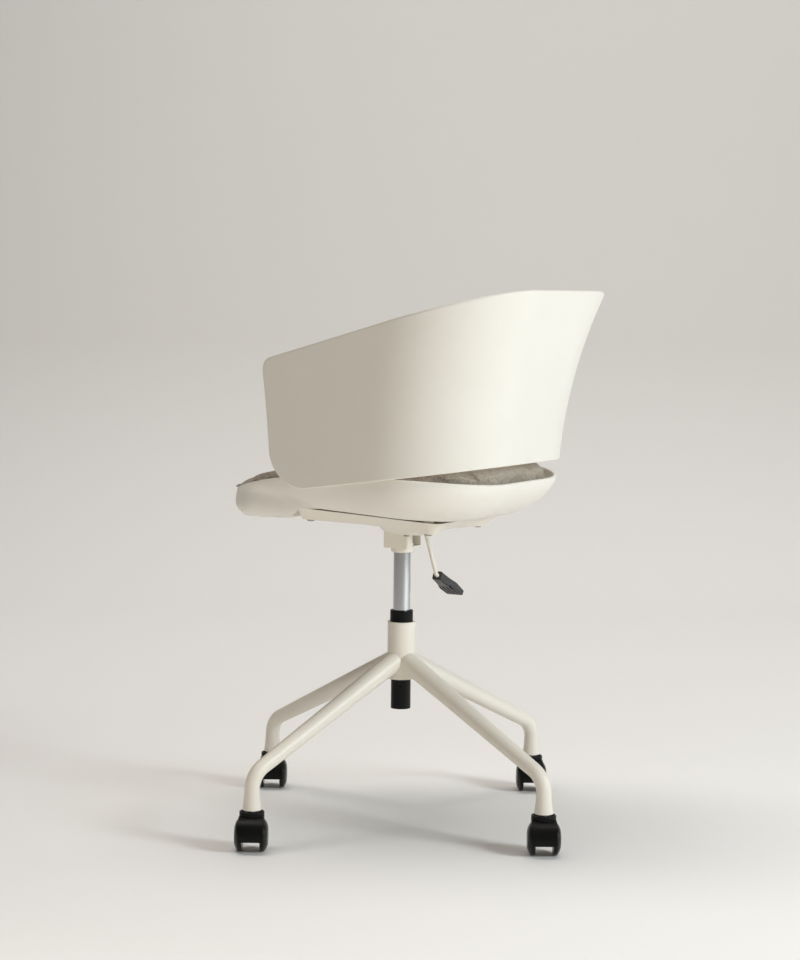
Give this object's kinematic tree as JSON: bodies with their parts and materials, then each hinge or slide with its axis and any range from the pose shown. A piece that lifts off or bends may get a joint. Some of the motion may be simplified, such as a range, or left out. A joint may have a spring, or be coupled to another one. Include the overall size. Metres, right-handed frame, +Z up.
{
  "type": "office chair",
  "caption": "Swivel tub chair with a wrap-round plastic back, padded dished seat, gas lift with a side lever and a bent-tube base on twin-wheel castors.",
  "frame": {"origin": "on the floor under the column's axis", "axes": "+Z up, -Y the way the sitter faces, +X the sitter's left"},
  "size_m": [0.6848, 0.6782, 0.8698],
  "materials": {
    "shell_plastic": "fine satin texture",
    "frame_paint": "satin powder coat",
    "pad_fabric": "woven upholstery",
    "board_plastic": "plain moulded",
    "black_plastic": "satin moulded",
    "wheel_plastic": "smooth moulded",
    "black_steel": "semi-gloss black paint",
    "chrome": "bright chrome plate",
    "steel": "zinc plated",
    "screw_steel": "dark zinc",
    "brass": "turned",
    "rubber": "plain"
  },
  "bodies": {
    "base": {"base_hub": "frame_paint", "leg_1": "frame_paint", "stem_sleeve_1": "black_plastic", "castor_stem_1": "steel", "leg_2": "frame_paint", "stem_sleeve_2": "black_plastic", "castor_stem_2": "steel", "leg_3": "frame_paint", "stem_sleeve_3": "black_plastic", "castor_stem_3": "steel", "leg_4": "frame_paint", "stem_sleeve_4": "black_plastic", "castor_stem_4": "steel", "lift_outer_tube": "black_steel", "lift_guide_bush": "black_plastic", "lift_thrust_bearing": "steel"},
    "spindle": {"lift_piston_rod": "steel", "lift_rod_clip": "steel", "lift_piston": "steel", "lift_bump_stop": "rubber"},
    "seat": {"lift_chrome_tube": "chrome", "lift_rod_guide": "steel", "taper_socket": "frame_paint", "swivel_bracket": "frame_paint", "lever_pivot_pin": "steel", "seat_plate": "frame_paint", "dish_stiffener": "steel", "stiffener_bolts": "screw_steel", "plate_screws": "screw_steel", "seat_inserts": "brass", "seat_shell": "shell_plastic", "cushion_board": "board_plastic", "cushion_screws": "screw_steel", "seat_pad": "pad_fabric", "back_shell": "shell_plastic", "back_screws": "screw_steel"},
    "valve": {"lift_valve_pin": "steel"},
    "lever": {"lever_rod": "frame_paint", "lever_paddle": "black_plastic"},
    "castor_1": {"castor_hood_1": "black_plastic", "castor_axle_1": "steel"},
    "wheel_left_1": {"castor_wheel_left_1": "wheel_plastic"},
    "wheel_right_1": {"castor_wheel_right_1": "wheel_plastic"},
    "castor_2": {"castor_hood_2": "black_plastic", "castor_axle_2": "steel"},
    "wheel_left_2": {"castor_wheel_left_2": "wheel_plastic"},
    "wheel_right_2": {"castor_wheel_right_2": "wheel_plastic"},
    "castor_3": {"castor_hood_3": "black_plastic", "castor_axle_3": "steel"},
    "wheel_left_3": {"castor_wheel_left_3": "wheel_plastic"},
    "wheel_right_3": {"castor_wheel_right_3": "wheel_plastic"},
    "castor_4": {"castor_hood_4": "black_plastic", "castor_axle_4": "steel"},
    "wheel_left_4": {"castor_wheel_left_4": "wheel_plastic"},
    "wheel_right_4": {"castor_wheel_right_4": "wheel_plastic"}
  },
  "joints": [
    {"name": "seat_swivel", "type": "hinge", "parent": "base", "child": "spindle", "pos_m": [0, 0, 0.1974], "axis": [0, 0, 1], "continuous": true},
    {"name": "seat_height", "type": "slide", "parent": "spindle", "child": "seat", "axis": [0, 0, 1], "range_m": [-0.085, 0]},
    {"name": "lever_lift", "type": "hinge", "parent": "seat", "child": "lever", "pos_m": [-0.014, 0, 0.4659], "axis": [0, 1, 0], "range_deg": [0, 10], "stiffness_Nm_per_rad": 6},
    {"name": "valve_press", "type": "slide", "parent": "seat", "child": "valve", "axis": [0, 0, -1], "range_m": [0, 0.0034]},
    {"name": "castor_swivel_1", "type": "hinge", "parent": "base", "child": "castor_1", "pos_m": [0.30806, -0.08659, 0.0598], "axis": [0, 0, 1], "continuous": true},
    {"name": "wheel_spin_left_1", "type": "hinge", "parent": "castor_1", "child": "wheel_left_1", "pos_m": [0.31932, -0.08009, 0.025], "axis": [-0.5, 0.866, 0], "continuous": true},
    {"name": "wheel_spin_right_1", "type": "hinge", "parent": "castor_1", "child": "wheel_right_1", "pos_m": [0.31932, -0.08009, 0.025], "axis": [-0.5, 0.866, 0], "continuous": true},
    {"name": "castor_swivel_2", "type": "hinge", "parent": "base", "child": "castor_2", "pos_m": [0.08659, 0.30806, 0.0598], "axis": [0, 0, 1], "continuous": true},
    {"name": "wheel_spin_left_2", "type": "hinge", "parent": "castor_2", "child": "wheel_left_2", "pos_m": [0.09785, 0.31456, 0.025], "axis": [-0.5, 0.866, 0], "continuous": true},
    {"name": "wheel_spin_right_2", "type": "hinge", "parent": "castor_2", "child": "wheel_right_2", "pos_m": [0.09785, 0.31456, 0.025], "axis": [-0.5, 0.866, 0], "continuous": true},
    {"name": "castor_swivel_3", "type": "hinge", "parent": "base", "child": "castor_3", "pos_m": [-0.30806, 0.08659, 0.0598], "axis": [0, 0, 1], "continuous": true},
    {"name": "wheel_spin_left_3", "type": "hinge", "parent": "castor_3", "child": "wheel_left_3", "pos_m": [-0.2968, 0.09309, 0.025], "axis": [-0.5, 0.866, 0], "continuous": true},
    {"name": "wheel_spin_right_3", "type": "hinge", "parent": "castor_3", "child": "wheel_right_3", "pos_m": [-0.2968, 0.09309, 0.025], "axis": [-0.5, 0.866, 0], "continuous": true},
    {"name": "castor_swivel_4", "type": "hinge", "parent": "base", "child": "castor_4", "pos_m": [-0.08659, -0.30806, 0.0598], "axis": [0, 0, 1], "continuous": true},
    {"name": "wheel_spin_left_4", "type": "hinge", "parent": "castor_4", "child": "wheel_left_4", "pos_m": [-0.07533, -0.30156, 0.025], "axis": [-0.5, 0.866, 0], "continuous": true},
    {"name": "wheel_spin_right_4", "type": "hinge", "parent": "castor_4", "child": "wheel_right_4", "pos_m": [-0.07533, -0.30156, 0.025], "axis": [-0.5, 0.866, 0], "continuous": true}
  ],
  "couplings": [
    {"joint": "valve_press", "follows": "lever_lift", "m_per_rad": 0.0185}
  ]
}
